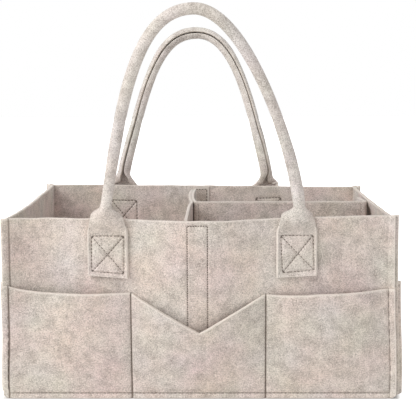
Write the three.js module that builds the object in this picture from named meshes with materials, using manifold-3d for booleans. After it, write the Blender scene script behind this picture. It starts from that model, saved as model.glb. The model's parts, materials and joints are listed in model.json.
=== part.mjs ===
// Felt diaper caddy: a sewn open-top bag with outside pockets all round, two rolled felt
// handles, and a T-shaped divider that lifts out and is held by hook-and-loop tape.
// Millimetres, +Z up, origin on the floor under the middle of the bag, front towards -Y.
import * as THREE from 'three';
import { mergeVertices } from 'three/addons/utils/BufferGeometryUtils.js';
import Module from 'manifold-3d';

const { smoothstep, lerp, degToRad } = THREE.MathUtils;

// Felt, thread and tape
const FELT = 3;
const FIT = 0.3; // gap between layers that are sewn or pressed together
const THREAD_WIDTH = 0.9;
const THREAD_RISE = 0.6; // how far a line of stitches stands off the felt
const TAPE_THICKNESS = 1.2;
const TAPE_WIDTH = 20;

// Bag shell
const BAG_WIDTH = 374; // between the side creases, at the floor
const BAG_DEPTH = 250; // between the front and back creases
const WALL_HEIGHT = 181;
const SEAM_FLANGE = 9.5; // raw edges that stand out at each corner seam
const SEAM_TURN = degToRad(20); // how far the long walls turn outwards into a corner seam
const BASE_SEAM = 6; // height of the bottom seam, and of the base above the floor
const FRONT_BOW = 22; // how far the divider pushes out the middle of the front rim
const BACK_BOW = 10;
const LUG_BOW = 8; // outward bow of both long rims where the handles are sewn on
const LEFT_BOW = 4; // inward bow of the left rim
const RIGHT_BOW = 1.5; // and of the right rim, which the long divider holds out
const CORNER_DRAW_IN = 2.5; // how far each corner leans in as the long walls bow

// Outside pockets
const POCKET_HEIGHT = 108;
const POCKET_CORNER_LIFT = 3; // the pocket edge runs up a little into the corner seams
const POCKET_STANDOFF = 8; // slack of a pocket mouth at its middle
const POCKET_SPLIT_LEFT = 66.4; // seams between the pockets, from the middle of a long wall
const POCKET_SPLIT_RIGHT = 64.5;
const NOTCH_INSET = 1.5; // from a pocket seam to the start of the notch
const NOTCH_DEPTH = 34.5;

// Handles
const LUG_SPACING = 181;
const LUG_WIDTH = 38;
const LUG_BOTTOM = 124;
const LUG_SHOULDER = 166; // height where the lug starts to narrow
const NECK_WIDTH = 34; // width of the strip where it leaves the rim
const STITCH_BOX_WIDTH = 31;
const STITCH_BOX_HEIGHT = 36;
const STITCH_BOX_INSET = 4; // from the lug's lower edge
const FRONT_HANDLE_SHIFT = 3; // both handles are sewn on a little off the middle
const BACK_HANDLE_SHIFT = -8;
const FRONT_HANDLE_SWAY = -4; // how far the top hangs to one side of the lugs
const BACK_HANDLE_SWAY = 1;
const HANDLE_REACH = 196; // from the hinge line to the top of the handle, along its own plane
const HANDLE_LEAN = degToRad(16.5);
const LEG_PULL = 70; // how strongly a leg keeps upright as it leaves the rim
const TOP_PULL = 52; // how strongly the handle keeps level at its top
const ROLL_WIDTH = 23.4; // width of the strip where it is rolled up
const ROLL_TURN = degToRad(335); // how far round the roll closes
const ROLL_START = 0.5; // distance along the grip where the strip starts to curl
const ROLL_END = 13; // and where the roll is complete
const HINGE_GAP = 0.9; // between the top of a lug and the moving handle

// Divider
const DIVIDER_X = -10.5; // middle of the cross divider's felt
const DIVIDER_TOP = 178;
const FLANGE_TOP = 163; // the taped end flanges are cut lower than the divider
const FLANGE_STEP = 5; // length of the slope from flange to divider
const TAPE_TOP = 176;
const TAPE_BOTTOM = 26;
const TAPE_STITCH_INSET = 0.8;
const LEG_SETBACK = 2.6; // from the long divider to its sewn leg
const LONG_DIVIDER_END = 35; // return flange at the free end
const RETURN_LEAN = 3; // how far the return flange leans away from the side wall
const HINGE_CLEARANCE = 0.8; // from the cross divider to the long divider
const SWING_CLEARANCE = 0.7; // least gap to the side wall as the long divider swings

const halfWidth = BAG_WIDTH / 2;
const halfDepth = BAG_DEPTH / 2;
const baseTop = BASE_SEAM + FELT;
const innerFace = FIT / 2; // walls meet at a corner seam, half a gap each
const wallOuterFace = innerFace + FELT;
const overlayFace = wallOuterFace + FIT; // what is sewn on the outside of a wall starts here
const overlayOuterFace = overlayFace + FELT;
const loopFace = innerFace - FIT; // tape on the inside of a wall
const hookFace = loopFace - TAPE_THICKNESS - FIT;
const flangeFace = hookFace - TAPE_THICKNESS - FIT;

// A row of evenly spaced numbers from one value to another, both included
function steps(from, to, count) {
  return Array.from({ length: count + 1 }, (_, i) => lerp(from, to, i / count));
}

// Share of the full bow at a height: none at the bottom seam, all of it at the rim
function rise(z) {
  const share = Math.max(z - BASE_SEAM, 0) / (WALL_HEIGHT - BASE_SEAM);
  return Math.sin((Math.min(share, 1) * Math.PI) / 2);
}

function creaseX(z) {
  return halfWidth - CORNER_DRAW_IN * rise(z) ** 2;
}

// A layer further out turns into its seam flange sooner, by this much of its distance
function mitre(turn) {
  return Math.tan(turn / 2);
}

// The rims are drawn in a little, so lugs are set out by as much and stand under their grips
const lugSpread = halfWidth / (creaseX(WALL_HEIGHT) - (overlayFace + FELT / 2) * mitre(SEAM_TURN));
const lugShift = Math.max(Math.abs(FRONT_HANDLE_SHIFT), Math.abs(BACK_HANDLE_SHIFT));
const lugReach = LUG_WIDTH / 2 + lugSpread * lugShift;
const flatFrom = (lugSpread * LUG_SPACING) / 2 - lugReach;
const flatTo = (lugSpread * LUG_SPACING) / 2 + lugReach;

// Outward bow of a long rim: most at the divider, flat behind the lugs, none at the corners
function longBow(across, middle) {
  const away = Math.abs(across);
  const swell = (middle - LUG_BOW) * (1 - smoothstep(away, 0, flatFrom));
  return (LUG_BOW + swell) * (1 - smoothstep(away, flatTo, halfWidth));
}

function sideBow(across, middle) {
  return -middle * (1 - (across / halfDepth) ** 2);
}

// Each wall runs across from its middle and stands out from the middle of the bag
const front = {
  half: creaseX,
  reach: () => halfDepth,
  nominalHalf: halfWidth,
  turn: SEAM_TURN,
  bow: (across) => longBow(across, FRONT_BOW),
  place: (across, out, z) => [across, -out, z],
};
const back = {
  half: creaseX,
  reach: () => halfDepth,
  nominalHalf: halfWidth,
  turn: SEAM_TURN,
  bow: (across) => longBow(across, BACK_BOW),
  place: (across, out, z) => [across, out, z],
};
const left = {
  half: () => halfDepth,
  reach: creaseX,
  nominalHalf: halfDepth,
  turn: Math.PI / 2 - SEAM_TURN,
  bow: (across) => sideBow(across, LEFT_BOW),
  place: (across, out, z) => [-out, across, z],
};
const right = {
  half: () => halfDepth,
  reach: creaseX,
  nominalHalf: halfDepth,
  turn: Math.PI / 2 - SEAM_TURN,
  bow: (across) => sideBow(across, RIGHT_BOW),
  place: (across, out, z) => [out, across, z],
};

// A point on a layer of a wall. `across` is in millimetres from the wall's middle and stops at the
// crease, `tip` runs 0 to 1 along the seam flange, and `out` is measured from the corner seam.
function wallPoint(wall, across, z, out, tip = 0) {
  const along = Math.min(Math.abs(across) / wall.nominalHalf, 1);
  const bend = out * mitre(wall.turn);
  const flange = tip * (SEAM_FLANGE - bend);
  const bow = wall.bow(across) * rise(z);
  const side = Math.sign(across) * (along * (wall.half(z) - bend) + flange * Math.cos(wall.turn));
  const drop = bow ** 2 / (2 * WALL_HEIGHT); // a wall that leans out loses a little height
  const reach = wall.reach(z) + bow + out + flange * Math.sin(wall.turn);
  return wall.place(side, reach, z - drop);
}

function turnOutward(geometry) {
  const position = geometry.getAttribute('position');
  const index = geometry.getIndex();
  const corner = [new THREE.Vector3(), new THREE.Vector3(), new THREE.Vector3()];
  let volume = 0;
  for (let i = 0; i < index.count; i += 3) {
    corner.forEach((point, k) => point.fromBufferAttribute(position, index.getX(i + k)));
    volume += corner[0].dot(corner[1].cross(corner[2]));
  }
  if (volume < 0) {
    for (let i = 0; i < index.count; i += 3) {
      const second = index.getX(i + 1);
      index.setX(i + 1, index.getX(i + 2));
      index.setX(i + 2, second);
    }
  }
  geometry.computeVertexNormals();
  return geometry;
}

// A closed sheet over a grid: place(column, row, t) gives a point on one face (t = 0) or the other
// (t = 1), and the cut edges join the two
function feltSheet(columns, rows, place) {
  const points = [];
  const triangles = [];
  for (const t of [0, 1]) {
    for (const row of rows) {
      for (const column of columns) {
        points.push(...place(column, row, t));
      }
    }
  }
  const at = (i, j, t) => (t * rows.length + j) * columns.length + i;
  const quad = (a, b, c, d) => triangles.push(a, b, c, a, c, d);
  const lastColumn = columns.length - 1;
  const lastRow = rows.length - 1;
  for (let j = 0; j < lastRow; j += 1) {
    for (let i = 0; i < lastColumn; i += 1) {
      quad(at(i, j, 1), at(i + 1, j, 1), at(i + 1, j + 1, 1), at(i, j + 1, 1));
      quad(at(i, j, 0), at(i, j + 1, 0), at(i + 1, j + 1, 0), at(i + 1, j, 0));
    }
    quad(at(0, j, 1), at(0, j + 1, 1), at(0, j + 1, 0), at(0, j, 0));
    quad(at(lastColumn, j, 0), at(lastColumn, j + 1, 0), at(lastColumn, j + 1, 1), at(lastColumn, j, 1));
  }
  for (let i = 0; i < lastColumn; i += 1) {
    quad(at(i, 0, 0), at(i + 1, 0, 0), at(i + 1, 0, 1), at(i, 0, 1));
    quad(at(i, lastRow, 1), at(i + 1, lastRow, 1), at(i + 1, lastRow, 0), at(i, lastRow, 0));
  }
  const geometry = new THREE.BufferGeometry();
  geometry.setAttribute('position', new THREE.Float32BufferAttribute(points, 3));
  geometry.setIndex(triangles);
  return turnOutward(geometry);
}

// A flat outline, drawn across and up, given a thickness and laid on a layer of a wall
function wrapOutline(outline, wall, out, thickness) {
  const flat = new THREE.ExtrudeGeometry(outline, { depth: thickness, bevelEnabled: false });
  flat.deleteAttribute('normal');
  flat.deleteAttribute('uv');
  const geometry = mergeVertices(flat);
  const position = geometry.getAttribute('position');
  for (let i = 0; i < position.count; i += 1) {
    const depth = position.getZ(i);
    position.setXYZ(i, ...wallPoint(wall, position.getX(i), position.getY(i), out + depth));
  }
  return turnOutward(geometry);
}

const caddy = new THREE.Group();

function addPiece(name, geometry, { color, roughness }) {
  const material = new THREE.MeshStandardMaterial({ color, roughness, metalness: 0 });
  const mesh = new THREE.Mesh(geometry, material);
  mesh.name = name;
  caddy.add(mesh);
}

const feltFinish = { color: 0xcfc6bc, roughness: 1 };
const tapeFinish = { color: 0xd9d2c8, roughness: 0.9 };
const threadFinish = { color: 0xb3a89c, roughness: 0.8 };

// Base panel: a tray turned upside down, whose edges run down behind the walls to the floor
const wasm = await Module();
wasm.setup();

function toSolid(geometry) {
  geometry.deleteAttribute('normal');
  geometry.deleteAttribute('uv');
  const merged = mergeVertices(geometry);
  const vertProperties = new Float32Array(merged.getAttribute('position').array);
  const triVerts = new Uint32Array(merged.getIndex().array);
  return new wasm.Manifold(new wasm.Mesh({ numProp: 3, vertProperties, triVerts }));
}

function fromSolid(solid) {
  const { vertProperties, triVerts } = solid.getMesh();
  const geometry = new THREE.BufferGeometry();
  geometry.setAttribute('position', new THREE.BufferAttribute(vertProperties, 3));
  geometry.setIndex(new THREE.BufferAttribute(triVerts, 1));
  geometry.computeVertexNormals();
  return geometry;
}

function blockOnFloor(width, depth, height) {
  return new THREE.BoxGeometry(width, depth, height).translate(0, 0, height / 2);
}

const baseWidth = BAG_WIDTH - 2 * FIT;
const baseDepth = BAG_DEPTH - 2 * FIT;
const baseBlock = toSolid(blockOnFloor(baseWidth, baseDepth, baseTop));
const baseHollow = toSolid(blockOnFloor(baseWidth - 2 * FELT, baseDepth - 2 * FELT, BASE_SEAM));
addPiece('base_panel', fromSolid(baseBlock.subtract(baseHollow)), feltFinish);

// Columns of a wall or pocket: a flange tip, the creases and points between, a flange tip
function wallColumns(stations) {
  const creased = stations.map((across) => ({ across, tip: 0 }));
  const first = { across: stations[0], tip: 1 };
  const last = { across: stations[stations.length - 1], tip: 1 };
  return [first, ...creased, last];
}

// Walls and tapes share these stations and heights, so that their facets lie flat on each other
const tapeLeft = DIVIDER_X - FELT / 2;
const tapeRight = tapeLeft + TAPE_WIDTH;
const tapeStations = steps(tapeLeft, tapeRight, 2);
const hookHeights = steps(TAPE_BOTTOM, FLANGE_TOP, 5);
const tapeHeights = [...hookHeights, TAPE_TOP];
const longStations = [
  ...steps(-halfWidth, -flatTo, 4),
  ...steps(-flatTo, -flatFrom, 2).slice(1),
  ...steps(-flatFrom, tapeLeft, 4).slice(1, -1),
  ...tapeStations,
  ...steps(tapeRight, flatFrom, 4).slice(1),
  ...steps(flatFrom, flatTo, 2).slice(1),
  ...steps(flatTo, halfWidth, 4).slice(1),
];
const sideStations = steps(-halfDepth, halfDepth, 8);
const wallHeights = [0, BASE_SEAM, baseTop, ...tapeHeights, WALL_HEIGHT];

// Height of a row of a panel: the seam flange starts above the bottom seam
function rowHeight(share, tip, top) {
  return lerp(tip * BASE_SEAM, top, share);
}

function wallPanel(wall, stations) {
  return feltSheet(wallColumns(stations), wallHeights, ({ across, tip }, height, t) => {
    const z = rowHeight(height / WALL_HEIGHT, tip, WALL_HEIGHT);
    return wallPoint(wall, across, z, innerFace + t * FELT, tip);
  });
}

addPiece('front_panel', wallPanel(front, longStations), feltFinish);
addPiece('back_panel', wallPanel(back, longStations), feltFinish);
addPiece('left_panel', wallPanel(left, sideStations), feltFinish);
addPiece('right_panel', wallPanel(right, sideStations), feltFinish);

// Pocket panels: a second layer sewn into the corner and bottom seams, slack at its mouth
function pocketSlack(across, z, seams) {
  const end = seams.findIndex((seam) => across <= seam);
  if (end < 1) {
    return 0;
  }
  const middle = (seams[end] + seams[end - 1]) / 2;
  const half = (seams[end] - seams[end - 1]) / 2;
  const share = Math.max(z - BASE_SEAM, 0) / (POCKET_HEIGHT - BASE_SEAM);
  const open = Math.sin((Math.min(share, 1) * Math.PI) / 2);
  return POCKET_STANDOFF * open * (1 - ((across - middle) / half) ** 2);
}

const notchLeft = POCKET_SPLIT_LEFT - NOTCH_INSET;
const notchRight = POCKET_SPLIT_RIGHT - NOTCH_INSET;

function pocketTop(wall, across, notched) {
  const lift = POCKET_CORNER_LIFT * (across / wall.nominalHalf) ** 6;
  const notchEnd = across < 0 ? -notchLeft : notchRight;
  const inNotch = notched ? Math.max(1 - across / notchEnd, 0) : 0;
  return POCKET_HEIGHT + lift - NOTCH_DEPTH * inNotch;
}

function pocketPanel(wall, stations, seams, notched) {
  const rows = [0, BASE_SEAM / POCKET_HEIGHT, ...steps(baseTop / POCKET_HEIGHT, 1, 5)];
  return feltSheet(wallColumns(stations), rows, ({ across, tip }, row, t) => {
    const z = rowHeight(row, tip, pocketTop(wall, across, notched));
    const slack = pocketSlack(across, z, seams);
    return wallPoint(wall, across, z, overlayFace + slack + t * FELT, tip);
  });
}

const longSeams = [-halfWidth, -POCKET_SPLIT_LEFT, POCKET_SPLIT_RIGHT, halfWidth];
const sideSeams = [-halfDepth, halfDepth];
const longPocketStations = [
  ...steps(-halfWidth, -POCKET_SPLIT_LEFT, 7),
  ...steps(-notchLeft, 0, 5),
  ...steps(0, notchRight, 5).slice(1),
  ...steps(POCKET_SPLIT_RIGHT, halfWidth, 7),
];
addPiece('front_pocket_panel', pocketPanel(front, longPocketStations, longSeams, true), feltFinish);
addPiece('back_pocket_panel', pocketPanel(back, longPocketStations, longSeams, true), feltFinish);
addPiece('left_pocket_panel', pocketPanel(left, sideStations, sideSeams, false), feltFinish);
addPiece('right_pocket_panel', pocketPanel(right, sideStations, sideSeams, false), feltFinish);

// Handle lugs: the flat ends of each handle strip, sewn to the outside of a wall
function lug(wall, middle) {
  const heights = [...steps(LUG_BOTTOM, LUG_SHOULDER, 2), ...steps(LUG_SHOULDER, WALL_HEIGHT, 4).slice(1)];
  return feltSheet([-1, 0, 1], heights, (side, z, t) => {
    const width = lerp(LUG_WIDTH, NECK_WIDTH, smoothstep(z, LUG_SHOULDER, WALL_HEIGHT));
    return wallPoint(wall, middle + (side * width) / 2, z, overlayFace + t * FELT);
  });
}

// Line of thread that sews a lug down: a box with a cross in it, left open in four triangles
function lugStitching(wall, middle) {
  const half = new THREE.Vector2(STITCH_BOX_WIDTH / 2, STITCH_BOX_HEIGHT / 2);
  const height = LUG_BOTTOM + STITCH_BOX_INSET + half.y;
  const corners = [[-1, -1], [1, -1], [1, 1], [-1, 1]];
  const box = new THREE.Shape(corners.map(([x, z]) =>
    new THREE.Vector2(middle + x * half.x, height + z * half.y)));
  const diagonal = half.length();
  const spread = THREAD_WIDTH / 2;
  for (const [i, [x, z]] of corners.entries()) {
    const [nextX, nextZ] = corners[(i + 1) % corners.length];
    const outX = (x + nextX) / 2;
    const outZ = (z + nextZ) / 2;
    // The triangle keeps one thread from the box's edge and half a thread from each diagonal
    const slope = outX === 0 ? half.x / half.y : half.y / half.x;
    const depth = outX === 0 ? half.y : half.x;
    const tipGap = (spread * diagonal) / (outX === 0 ? half.x : half.y);
    const nearEdge = depth - THREAD_WIDTH;
    const reach = (nearEdge - tipGap) * slope;
    const points = [[tipGap, 0], [nearEdge, -reach], [nearEdge, reach]].map(([out, along]) =>
      new THREE.Vector2(middle + out * outX - along * outZ, height + out * outZ + along * outX));
    box.holes.push(new THREE.Path(points));
  }
  return wrapOutline(box, wall, overlayOuterFace + FIT, THREAD_RISE);
}

const handles = [
  { name: 'front', wall: front, shift: FRONT_HANDLE_SHIFT, sway: FRONT_HANDLE_SWAY },
  { name: 'back', wall: back, shift: BACK_HANDLE_SHIFT, sway: BACK_HANDLE_SWAY },
];
for (const { name, wall, shift } of handles) {
  for (const [side, sign] of [['left', -1], ['right', 1]]) {
    const middle = lugSpread * (shift + (sign * LUG_SPACING) / 2);
    addPiece(`${name}_${side}_lug`, lug(wall, middle), feltFinish);
    addPiece(`${name}_${side}_lug_stitching`, lugStitching(wall, middle), threadFinish);
  }
}

// Handle grip: the strip between its lugs, flat at the necks and rolled into a tube above them.
// The path runs in the handle's own plane, from the left neck over the top to the right neck.
const hingeHeight = WALL_HEIGHT + HINGE_GAP + FELT / 2;
const neck = new THREE.Vector2(LUG_SPACING / 2, -FELT / 2);
const legPull = new THREE.Vector2(LUG_SPACING / 2, LEG_PULL);
const topPull = new THREE.Vector2(TOP_PULL, HANDLE_REACH);
const top = new THREE.Vector2(0, HANDLE_REACH);
const rightLeg = new THREE.CubicBezierCurve(neck, legPull, topPull, top);
const legLength = rightLeg.getLength();
const legSteps = [...steps(0, ROLL_END, 6), ...steps(ROLL_END, legLength, 16).slice(1)];
const gripRows = [
  ...legSteps.map((distance) => ({ distance, sign: -1 })),
  ...legSteps.slice(0, -1).reverse().map((distance) => ({ distance, sign: 1 })),
];

function grip(wall, shift, sway) {
  const hinge = wallPoint(wall, LUG_SPACING / 2, WALL_HEIGHT, overlayFace + FELT / 2);
  const outward = Math.sign(hinge[1]);
  const upDirection = new THREE.Vector3(0, outward * Math.sin(HANDLE_LEAN), Math.cos(HANDLE_LEAN));
  const inDirection = new THREE.Vector3(0, -outward * Math.cos(HANDLE_LEAN), Math.sin(HANDLE_LEAN));
  return feltSheet(steps(-1, 1, 10), gripRows, (side, { distance, sign }, t) => {
    const along = Math.min(distance / legLength, 1);
    const point = rightLeg.getPointAt(along);
    const tangent = rightLeg.getTangentAt(along);
    const width = lerp(NECK_WIDTH, ROLL_WIDTH, smoothstep(distance, 0, ROLL_END));
    const turn = ROLL_TURN * smoothstep(distance, ROLL_START, ROLL_END);
    const angle = (side * turn) / 2;
    const offset = (t - 0.5) * FELT;
    const radius = turn > 0 ? width / turn : 0;
    const lateral = turn > 0 ? (radius + offset) * Math.sin(angle) : (side * width) / 2;
    const inward = turn > 0 ? radius - (radius + offset) * Math.cos(angle) : -offset;
    // The path runs up the left leg and down the right leg, so its sideways direction turns over
    const across = sign * (point.x - lateral * tangent.y) + sway * (point.y / HANDLE_REACH) ** 2;
    const up = point.y + lateral * tangent.x;
    return new THREE.Vector3(shift + across, hinge[1], hingeHeight)
      .addScaledVector(upDirection, up)
      .addScaledVector(inDirection, inward)
      .toArray();
  });
}

for (const { name, wall, shift, sway } of handles) {
  addPiece(`${name}_grip`, grip(wall, shift, sway), feltFinish);
}

// Hook-and-loop tape: loop strips on the walls, hook strips on the divider's end flanges
function tapeStrip(wall, heights, face) {
  return feltSheet(tapeStations, heights, (across, z, t) =>
    wallPoint(wall, across, z, face - t * TAPE_THICKNESS));
}

// Thread that sews a loop strip on, seen on the outside of the wall as three sides of a frame.
// Each point of its path says which way half the thread's width goes, mitred at the two corners.
function tapeStitching(wall) {
  const leftEdge = tapeLeft + TAPE_STITCH_INSET;
  const rightEdge = tapeRight - TAPE_STITCH_INSET;
  const topEdge = TAPE_TOP - TAPE_STITCH_INSET;
  const heights = steps(TAPE_BOTTOM, topEdge, 8).slice(0, -1);
  const path = [
    ...heights.map((z) => ({ x: leftEdge, z, wideX: 1, wideZ: 0 })),
    { x: leftEdge, z: topEdge, wideX: 1, wideZ: -1 },
    { x: (leftEdge + rightEdge) / 2, z: topEdge, wideX: 0, wideZ: -1 },
    { x: rightEdge, z: topEdge, wideX: -1, wideZ: -1 },
    ...heights.reverse().map((z) => ({ x: rightEdge, z, wideX: -1, wideZ: 0 })),
  ];
  return feltSheet([-1, 1], path, (side, { x, z, wideX, wideZ }, t) => {
    const offset = (side * THREAD_WIDTH) / 2;
    return wallPoint(wall, x + offset * wideX, z + offset * wideZ, wallOuterFace + FIT + t * THREAD_RISE);
  });
}

for (const { name, wall } of handles) {
  addPiece(`${name}_loop_strip`, tapeStrip(wall, tapeHeights, loopFace), tapeFinish);
  addPiece(`${name}_hook_strip`, tapeStrip(wall, hookHeights, hookFace), tapeFinish);
  addPiece(`${name}_tape_stitching`, tapeStitching(wall), threadFinish);
}

// Cross divider: one felt piece from wall to wall, its ends turned to carry the hook strips
const dividerBottom = baseTop + FIT;
const dividerLeft = DIVIDER_X - FELT / 2;
const dividerRight = DIVIDER_X + FELT / 2;
const dividerRows = steps(0, 1, 6);

function flangeY(wall, across, z, t) {
  return wallPoint(wall, across, z, flangeFace - (1 - t) * FELT)[1];
}

const crossColumns = [
  { end: front, across: tapeRight, height: FLANGE_TOP },
  { end: front, height: FLANGE_TOP },
  { end: front, setback: FLANGE_STEP, height: DIVIDER_TOP },
  { share: 0.5, height: DIVIDER_TOP },
  { end: back, setback: FLANGE_STEP, height: DIVIDER_TOP },
  { end: back, height: FLANGE_TOP },
  { end: back, across: tapeRight, height: FLANGE_TOP },
];

addPiece('cross_divider', feltSheet(crossColumns, dividerRows, (column, row, t) => {
  const z = lerp(dividerBottom, column.height, row);
  const x = column.across ?? (t ? dividerLeft : dividerRight);
  if (column.share) {
    return [x, lerp(flangeY(front, x, z, t), flangeY(back, x, z, t), column.share), z];
  }
  const atWall = flangeY(column.end, x, z, t);
  return [x, atWall - Math.sign(atWall) * (column.setback ?? 0), z];
}), feltFinish);

// Sewn leg: the end of the long divider's felt, turned back along the cross divider
const legStart = FELT / 2 + LEG_SETBACK;
const legLeft = dividerRight + FIT;
addPiece('divider_leg', feltSheet([0, 1], dividerRows, (along, row, t) => {
  const z = lerp(dividerBottom, DIVIDER_TOP, row);
  const end = flangeY(back, legLeft, Math.min(z, FLANGE_TOP), 0) - FIT;
  return [legLeft + t * FELT, lerp(legStart, end, along), z];
}), feltFinish);

// Long divider: swings on its seam with the cross divider, with a flange turned towards the back
const longStart = dividerRight + HINGE_CLEARANCE;
const swingX = longStart + FELT / 2;
const sideWallX = creaseX(WALL_HEIGHT) - RIGHT_BOW + innerFace;
const swingReach = sideWallX - SWING_CLEARANCE - swingX;
const returnEnd = swingX + Math.sqrt(swingReach ** 2 - LONG_DIVIDER_END ** 2);
const longEnd = returnEnd + RETURN_LEAN;
const longOutline = [
  { outer: [longStart, -FELT / 2], inner: [longStart, FELT / 2] },
  { outer: [longEnd, -FELT / 2], inner: [longEnd - FELT, FELT / 2] },
  { outer: [returnEnd, LONG_DIVIDER_END], inner: [returnEnd - FELT, LONG_DIVIDER_END] },
];
addPiece('long_divider', feltSheet(longOutline, [dividerBottom, DIVIDER_TOP], ({ outer, inner }, z, t) =>
  [...(t ? outer : inner), z]), feltFinish);

// Seam stitching: upright lines between the pockets and a line round the bottom
function seamLine(columns, rows, place) {
  return feltSheet(columns, rows, (side, row, t) =>
    place((side * THREAD_WIDTH) / 2, row, FIT + t * THREAD_RISE));
}

const seamHeights = steps(baseTop, POCKET_HEIGHT - FIT, 5);
for (const { name, wall } of handles) {
  for (const [side, seam] of [['left', -POCKET_SPLIT_LEFT], ['right', POCKET_SPLIT_RIGHT]]) {
    addPiece(`${name}_${side}_pocket_stitching`, seamLine([-1, 1], seamHeights, (offset, z, lift) => {
      const across = seam + offset;
      const slack = pocketSlack(across, z, longSeams);
      return wallPoint(wall, across, z, overlayOuterFace + slack + lift);
    }), threadFinish);
  }
}

for (const [name, wall] of Object.entries({ front, back, left, right })) {
  const reach = wall.nominalHalf - overlayOuterFace;
  addPiece(`${name}_bottom_stitching`, seamLine([-1, 1], steps(-reach, reach, 2), (offset, across, lift) =>
    wallPoint(wall, across, BASE_SEAM - THREAD_WIDTH / 2 + offset, overlayOuterFace + lift)), threadFinish);
}

export default caddy;
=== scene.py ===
import bisect
import json
from functools import lru_cache
from math import exp, pi, radians, sin, cos, tan

import bmesh
import bpy
from mathutils import Matrix, Vector, geometry, noise


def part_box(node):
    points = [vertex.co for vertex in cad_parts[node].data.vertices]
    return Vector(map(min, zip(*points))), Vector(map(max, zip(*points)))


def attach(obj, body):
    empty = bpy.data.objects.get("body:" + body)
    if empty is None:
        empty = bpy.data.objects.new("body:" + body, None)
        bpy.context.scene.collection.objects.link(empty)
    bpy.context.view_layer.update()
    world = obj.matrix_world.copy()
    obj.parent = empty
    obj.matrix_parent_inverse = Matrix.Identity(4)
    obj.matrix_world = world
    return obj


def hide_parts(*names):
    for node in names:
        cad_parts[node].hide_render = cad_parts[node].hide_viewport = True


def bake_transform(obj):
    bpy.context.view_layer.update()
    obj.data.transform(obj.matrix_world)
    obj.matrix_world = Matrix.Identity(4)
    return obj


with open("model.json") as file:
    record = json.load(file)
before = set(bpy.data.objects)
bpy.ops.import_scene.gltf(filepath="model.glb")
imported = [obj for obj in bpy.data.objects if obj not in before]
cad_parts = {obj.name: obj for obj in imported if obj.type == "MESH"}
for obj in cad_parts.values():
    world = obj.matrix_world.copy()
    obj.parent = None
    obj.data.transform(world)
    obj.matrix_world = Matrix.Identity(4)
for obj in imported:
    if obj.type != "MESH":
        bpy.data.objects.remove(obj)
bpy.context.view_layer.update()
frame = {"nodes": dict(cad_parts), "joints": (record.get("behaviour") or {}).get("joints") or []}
mm = 0.001
print("frame loaded:", len(frame["nodes"]), "nodes")


# small helpers

def inMm(**lengths):  # a dictionary of lengths, or of several at once, written in millimetres
    return {key: tuple(v * mm for v in value) if isinstance(value, tuple) else value * mm
            for key, value in lengths.items()}


def lerp(a, b, t):
    return a + (b - a) * t


def clamp(t):
    return min(max(t, 0.0), 1.0)


def ease(x, a, b):  # soft step from 0 at a to 1 at b
    t = clamp((x - a) / (b - a))
    return t * t * (3 - 2 * t)


def softSteps(points, x):  # soft steps through a list of places and values
    value = points[0][1]
    for (a, low), (b, high) in zip(points, points[1:]):
        value += (high - low) * ease(x, a, b)
    return value


def steps(a, b, pitch):  # even spacing of about one pitch, both ends included
    count = max(1, round(abs(b - a) / pitch))
    return [lerp(a, b, i / count) for i in range(count + 1)]


def runLengths(points):  # distance along a line, at each of its points
    lengths = [0.0]
    for a, b in zip(points, points[1:]):
        lengths.append(lengths[-1] + (b - a).length)
    return lengths


def segmentAt(lengths, d):  # which stretch of the line this distance lies on
    return min(max(bisect.bisect_right(lengths, d) - 1, 0), len(lengths) - 2)


def waver(x, y, z):  # smooth noise, from -1 to 1
    return noise.noise(Vector((x, y, z)))


def dip(distance, width):  # how deep a row of stitches pulls the felt in
    return exp(-(distance / width) ** 2)


def tone(r, g, b):  # a colour as read off a screen, made linear
    return tuple(c / 255 / 12.92 if c < 11 else ((c / 255 + 0.055) / 1.055) ** 2.4 for c in (r, g, b)) + (1,)


# finishes

def addNode(tree, kind, inputs=None, **settings):
    node = tree.nodes.new("ShaderNode" + kind)
    for key, value in settings.items():
        setattr(node, key, value)
    for key, value in (inputs or {}).items():
        if isinstance(value, bpy.types.NodeSocket):
            tree.links.new(value, node.inputs[key])
        else:
            node.inputs[key].default_value = value
    return node


def ramp(tree, source, stops):
    node = addNode(tree, "ValToRGB", {"Fac": source})
    points = node.color_ramp.elements
    while len(points) < len(stops):
        points.new(0.5)
    for point, (place, level) in zip(points, stops):
        point.position = place
        point.color = (level, level, level, 1)
    return node.outputs["Color"]


def mixTone(tree, factor, a, b, blend="MIX"):
    colours = {0: factor, 6: a, 7: b}  # by number, because the node has sockets of the same name for other types
    return addNode(tree, "Mix", colours, data_type="RGBA", blend_type=blend).outputs[2]


def addNoise(tree, coords, scale, detail, rough=0.5):
    return addNode(tree, "TexNoise", {"Vector": coords, "Scale": scale, "Detail": detail, "Roughness": rough}).outputs


def combine(tree, operation, a, b):
    return addNode(tree, "Math", {0: a, 1: b}, operation=operation).outputs[0]


def painted(tree, name):  # a value that layFelt leaves on the mesh
    return addNode(tree, "Attribute", attribute_name=name).outputs["Fac"]


def startFinish(name):
    mat = bpy.data.materials.new(name)
    mat.use_nodes = True
    tree = mat.node_tree
    return mat, tree, tree.nodes["Principled BSDF"], addNode(tree, "TexCoord").outputs["Object"]


def endFinish(tree, shader, base, height, strength, depth, settings):
    bump = addNode(tree, "Bump", {"Height": height, "Strength": strength, "Distance": depth})
    tree.links.new(base, shader.inputs["Base Color"])
    tree.links.new(bump.outputs[0], shader.inputs["Normal"])
    for key, value in settings.items():
        shader.inputs[key].default_value = value


feltLook = dict(
    warm=tone(225, 209, 200), cool=tone(220, 209, 200),  # slow drift between two batches of wool
    rubbed=tone(228, 221, 214),  # handles, paler from use
    darkWool=tone(128, 115, 105), paleWool=tone(250, 240, 232),
    # the pale cut-edge colour is partly a painted highlight along cut edges; the seam colour is painted shade in
    # seams and creases
    cutEdgeAndHighlight=tone(238, 229, 219), seamShade=tone(104, 90, 79),
    driftScale=24, driftTint=0.24, cloudScale=92, speckScale=900, grainScale=2000, fibreScale=420, fibreThin=7,
)


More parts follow.
